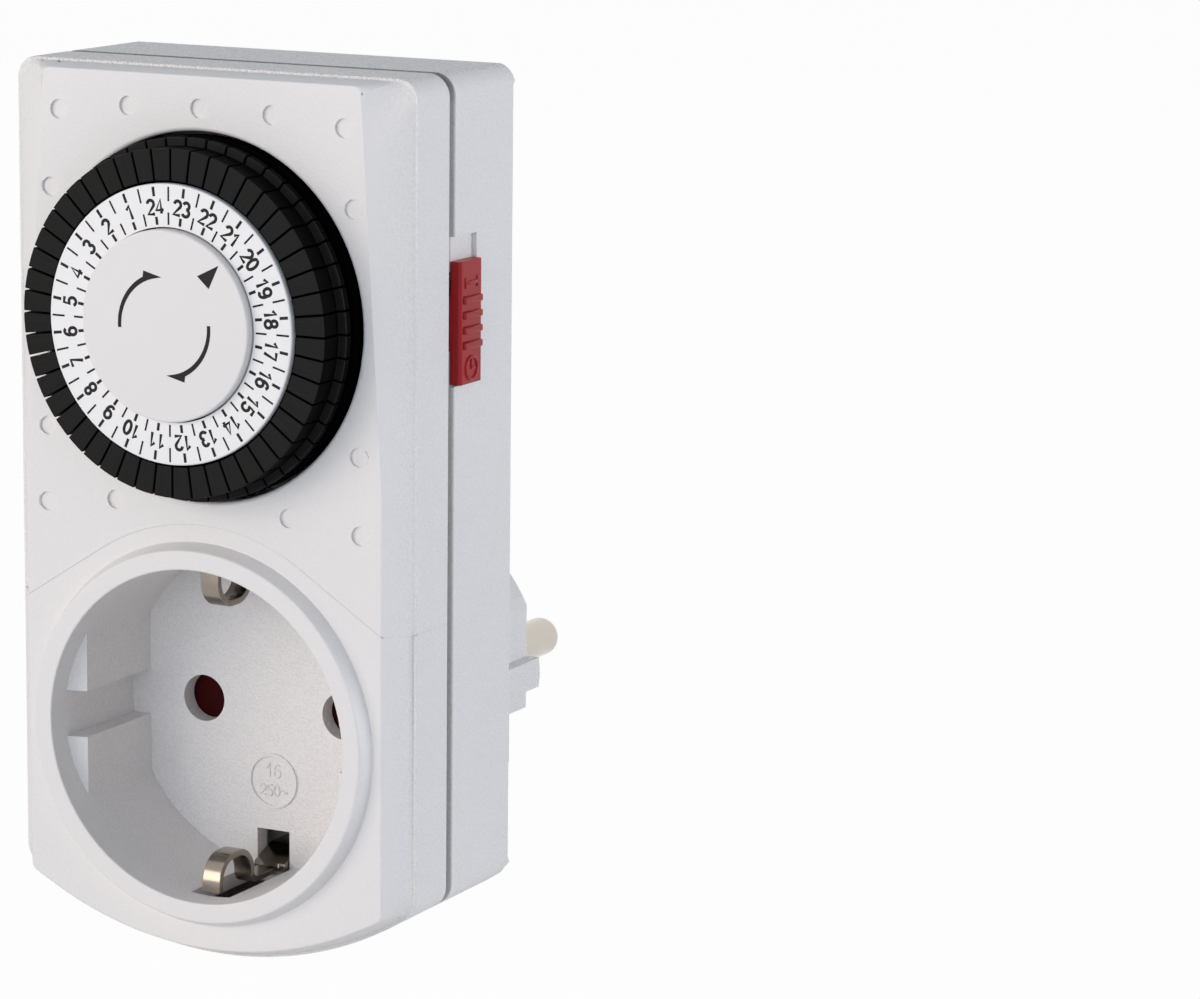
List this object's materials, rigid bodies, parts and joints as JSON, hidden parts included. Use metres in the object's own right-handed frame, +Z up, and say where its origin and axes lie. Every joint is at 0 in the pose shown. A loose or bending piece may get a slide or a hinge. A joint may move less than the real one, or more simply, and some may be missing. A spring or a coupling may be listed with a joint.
{
  "type": "plug-in timer switch",
  "caption": "Plug-in mechanical 24 hour timer: dial of push segments above a round earthed socket, side override slider, two-pin earthed plug behind.",
  "frame": {"origin": "middle of the plug's end face, half way between the two pins", "axes": "+Y along the pins into the wall, +Z up, +X to the right seen from the front"},
  "size_m": [0.0541, 0.0742, 0.1031],
  "materials": {
    "white_abs": "moulded, fine spark-eroded grain",
    "white_print_abs": "smooth moulded, printed scale",
    "black_abs": "moulded, satin",
    "red_abs": "moulded, semi-gloss",
    "red_polyamide": "moulded",
    "grey_polyamide": "glass filled, moulded",
    "white_acetal": "moulded gears and levers",
    "nickel_brass": "nickel plated, turned",
    "nickel_strip": "nickel plated strip, stamped",
    "brass_strip": "spring brass, stamped",
    "zinc_steel": "zinc plated",
    "spring_steel": "bright drawn",
    "motor_tin": "tinned, deep drawn",
    "coil_winding": "enamelled copper wire on a bobbin",
    "ferrite": "pressed, ground"
  },
  "bodies": {
    "root": {"rear_housing": "white_abs", "front_cover": "white_abs", "socket_cover": "white_abs", "casing_screws": "zinc_steel", "plug_pin_neutral": "nickel_brass", "plug_pin_live": "nickel_brass", "neutral_busbar": "brass_strip", "live_jaw": "brass_strip", "live_busbar": "brass_strip", "earth_strip_upper": "nickel_strip", "earth_strip_lower": "nickel_strip", "contact_holder": "grey_polyamide", "shutter_spring": "spring_steel", "mechanism_plate": "grey_polyamide", "plate_screws": "zinc_steel", "dial_spindle": "white_acetal", "dial_cap": "white_abs", "clutch_axle": "spring_steel", "motor_gear_unit": "motor_tin", "motor_can": "motor_tin", "motor_coil": "coil_winding", "switch_base": "grey_polyamide", "lever_pin": "spring_steel", "leaf_terminal": "brass_strip", "fixed_contact": "brass_strip"},
    "dial": {"dial_carrier": "black_abs", "dial_scale": "white_print_abs"},
    "clutch": {"clutch_gear": "white_acetal"},
    "output": {"output_pinion": "white_acetal"},
    "rotor": {"motor_rotor": "ferrite"},
    "lever": {"trip_lever": "white_acetal"},
    "leaf": {"contact_leaf": "brass_strip"},
    "slider": {"override_slider": "red_abs"},
    "shutter_plate": {"shutter": "red_polyamide"},
    "segment_pair_01": {"segments_hour_01": "black_abs"},
    "segment_pair_02": {"segments_hour_02": "black_abs"},
    "segment_pair_03": {"segments_hour_03": "black_abs"},
    "segment_pair_04": {"segments_hour_04": "black_abs"},
    "segment_pair_05": {"segments_hour_05": "black_abs"},
    "segment_pair_06": {"segments_hour_06": "black_abs"},
    "segment_pair_07": {"segments_hour_07": "black_abs"},
    "segment_pair_08": {"segments_hour_08": "black_abs"},
    "segment_pair_09": {"segments_hour_09": "black_abs"},
    "segment_pair_10": {"segments_hour_10": "black_abs"},
    "segment_pair_11": {"segments_hour_11": "black_abs"},
    "segment_pair_12": {"segments_hour_12": "black_abs"},
    "segment_pair_13": {"segments_hour_13": "black_abs"},
    "segment_pair_14": {"segments_hour_14": "black_abs"},
    "segment_pair_15": {"segments_hour_15": "black_abs"},
    "segment_pair_16": {"segments_hour_16": "black_abs"},
    "segment_pair_17": {"segments_hour_17": "black_abs"},
    "segment_pair_18": {"segments_hour_18": "black_abs"},
    "segment_pair_19": {"segments_hour_19": "black_abs"},
    "segment_pair_20": {"segments_hour_20": "black_abs"},
    "segment_pair_21": {"segments_hour_21": "black_abs"},
    "segment_pair_22": {"segments_hour_22": "black_abs"},
    "segment_pair_23": {"segments_hour_23": "black_abs"},
    "segment_pair_24": {"segments_hour_24": "black_abs"}
  },
  "joints": [
    {"name": "dial_turn", "type": "hinge", "parent": "root", "child": "dial", "pos_m": [0, 0, 0.0483], "axis": [0, 1, 0], "continuous": true},
    {"name": "clutch_turn", "type": "hinge", "parent": "root", "child": "clutch", "pos_m": [-0.0118, 0, 0.04004], "axis": [0, 1, 0], "continuous": true},
    {"name": "output_turn", "type": "hinge", "parent": "root", "child": "output", "pos_m": [-0.01451, 0, 0.05018], "axis": [0, 1, 0], "continuous": true},
    {"name": "rotor_turn", "type": "hinge", "parent": "root", "child": "rotor", "pos_m": [-0.0094, 0, 0.0554], "axis": [0, 1, 0], "continuous": true},
    {"name": "lever_swing", "type": "hinge", "parent": "root", "child": "lever", "pos_m": [0.015, -0.0405, 0.044], "axis": [-1, 0, 0], "range_deg": [0, 3.3], "stiffness_Nm_per_rad": 0.005, "springref_deg": -2.86},
    {"name": "leaf_bend", "type": "hinge", "parent": "root", "child": "leaf", "pos_m": [0.0165, -0.0384, 0.0403], "axis": [-1, 0, 0], "range_deg": [0, 2.25]},
    {"name": "slider_travel", "type": "slide", "parent": "root", "child": "slider", "axis": [0, 0, 1], "range_m": [0, 0.0026]},
    {"name": "shutter_lift", "type": "slide", "parent": "root", "child": "shutter_plate", "axis": [0, 0, 1], "range_m": [0, 0.006], "stiffness_N_per_m": 20, "springref_m": -0.002, "deforming": ["shutter_spring"]},
    {"name": "segment_01_push", "type": "slide", "parent": "dial", "child": "segment_pair_01", "axis": [0, 1, 0], "range_m": [0, 0.0015]},
    {"name": "segment_02_push", "type": "slide", "parent": "dial", "child": "segment_pair_02", "axis": [0, 1, 0], "range_m": [0, 0.0015]},
    {"name": "segment_03_push", "type": "slide", "parent": "dial", "child": "segment_pair_03", "axis": [0, 1, 0], "range_m": [0, 0.0015]},
    {"name": "segment_04_push", "type": "slide", "parent": "dial", "child": "segment_pair_04", "axis": [0, 1, 0], "range_m": [0, 0.0015]},
    {"name": "segment_05_push", "type": "slide", "parent": "dial", "child": "segment_pair_05", "axis": [0, 1, 0], "range_m": [0, 0.0015]},
    {"name": "segment_06_push", "type": "slide", "parent": "dial", "child": "segment_pair_06", "axis": [0, 1, 0], "range_m": [0, 0.0015]},
    {"name": "segment_07_push", "type": "slide", "parent": "dial", "child": "segment_pair_07", "axis": [0, 1, 0], "range_m": [0, 0.0015]},
    {"name": "segment_08_push", "type": "slide", "parent": "dial", "child": "segment_pair_08", "axis": [0, 1, 0], "range_m": [0, 0.0015]},
    {"name": "segment_09_push", "type": "slide", "parent": "dial", "child": "segment_pair_09", "axis": [0, 1, 0], "range_m": [0, 0.0015]},
    {"name": "segment_10_push", "type": "slide", "parent": "dial", "child": "segment_pair_10", "axis": [0, 1, 0], "range_m": [0, 0.0015]},
    {"name": "segment_11_push", "type": "slide", "parent": "dial", "child": "segment_pair_11", "axis": [0, 1, 0], "range_m": [0, 0.0015]},
    {"name": "segment_12_push", "type": "slide", "parent": "dial", "child": "segment_pair_12", "axis": [0, 1, 0], "range_m": [0, 0.0015]},
    {"name": "segment_13_push", "type": "slide", "parent": "dial", "child": "segment_pair_13", "axis": [0, 1, 0], "range_m": [0, 0.0015]},
    {"name": "segment_14_push", "type": "slide", "parent": "dial", "child": "segment_pair_14", "axis": [0, 1, 0], "range_m": [0, 0.0015]},
    {"name": "segment_15_push", "type": "slide", "parent": "dial", "child": "segment_pair_15", "axis": [0, 1, 0], "range_m": [0, 0.0015]},
    {"name": "segment_16_push", "type": "slide", "parent": "dial", "child": "segment_pair_16", "axis": [0, 1, 0], "range_m": [0, 0.0015]},
    {"name": "segment_17_push", "type": "slide", "parent": "dial", "child": "segment_pair_17", "axis": [0, 1, 0], "range_m": [0, 0.0015]},
    {"name": "segment_18_push", "type": "slide", "parent": "dial", "child": "segment_pair_18", "axis": [0, 1, 0], "range_m": [0, 0.0015]},
    {"name": "segment_19_push", "type": "slide", "parent": "dial", "child": "segment_pair_19", "axis": [0, 1, 0], "range_m": [0, 0.0015]},
    {"name": "segment_20_push", "type": "slide", "parent": "dial", "child": "segment_pair_20", "axis": [0, 1, 0], "range_m": [0, 0.0015]},
    {"name": "segment_21_push", "type": "slide", "parent": "dial", "child": "segment_pair_21", "axis": [0, 1, 0], "range_m": [0, 0.0015]},
    {"name": "segment_22_push", "type": "slide", "parent": "dial", "child": "segment_pair_22", "axis": [0, 1, 0], "range_m": [0, 0.0015]},
    {"name": "segment_23_push", "type": "slide", "parent": "dial", "child": "segment_pair_23", "axis": [0, 1, 0], "range_m": [0, 0.0015]},
    {"name": "segment_24_push", "type": "slide", "parent": "dial", "child": "segment_pair_24", "axis": [0, 1, 0], "range_m": [0, 0.0015]}
  ],
  "couplings": [
    {"joint": "clutch_turn", "follows": "dial_turn", "ratio": -3},
    {"joint": "output_turn", "follows": "dial_turn", "ratio": 9.6},
    {"joint": "leaf_bend", "follows": "lever_swing", "ratio": 0.678}
  ]
}
